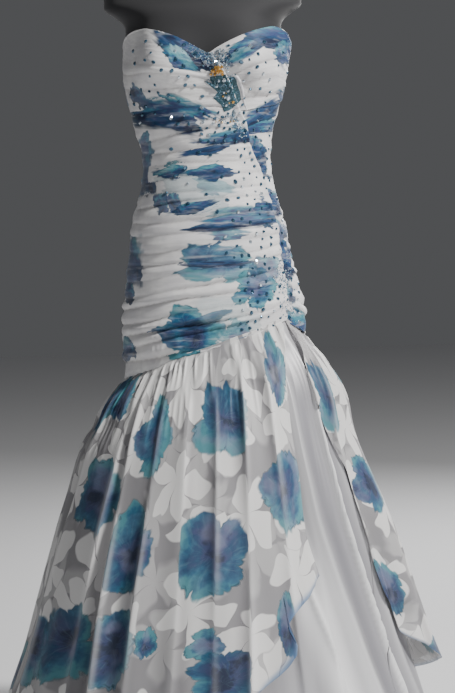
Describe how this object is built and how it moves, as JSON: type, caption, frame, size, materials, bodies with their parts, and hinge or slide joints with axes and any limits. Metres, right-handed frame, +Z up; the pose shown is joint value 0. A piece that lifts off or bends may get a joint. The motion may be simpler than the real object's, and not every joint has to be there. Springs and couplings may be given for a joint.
{
  "type": "mermaid prom dress on a limbless dress form",
  "caption": "Strapless mermaid gown: ruched sweetheart bodice, dropped waist, sheer burnout overskirt open over satin, on a limbless dress form with a round stand.",
  "frame": {"origin": "centre of the stand base's flat underside, on the floor", "axes": "+Z up along the pole, -Y out of the front of the dress, +X to the viewer's right in the picture"},
  "size_m": [0.8322, 0.8681, 1.5203],
  "materials": {
    "printed_organza": "matt white crinkled organza with a watercolour flower print",
    "burnout_organza": "sheer grey ground with opaque white leaf shapes and blue flowers",
    "white_satin": "smooth white satin with a soft sheen",
    "crystal_beading": "faceted stones and seed beads",
    "zip_tape": "woven tape",
    "nickel": "polished nickel",
    "black_jersey": "matt stretch cover",
    "black_lacquer": "satin lacquer"
  },
  "bodies": {
    "gown_on_form": {"front_drape": "printed_organza", "cup_right": "printed_organza", "side_panel_right": "printed_organza", "back_panel_right": "printed_organza", "back_panel_left": "printed_organza", "underskirt_front": "white_satin", "underskirt_right": "white_satin", "underskirt_left": "white_satin", "overskirt_front": "burnout_organza", "overskirt_right": "burnout_organza", "overskirt_back": "burnout_organza", "applique_centre": "crystal_beading", "zip_strip": "zip_tape", "zip_slider": "nickel", "dress_form": "black_jersey", "neck_cap": "black_lacquer", "stand_pole": "black_lacquer", "stand_base": "black_lacquer"},
    "zip_pull": {"zip_pull": "nickel"}
  },
  "joints": [
    {"name": "zip_pull_swing", "type": "hinge", "parent": "gown_on_form", "child": "zip_pull", "pos_m": [0, 0.1013, 1.23333], "axis": [1, 0, 0], "range_deg": [0, 150]}
  ]
}
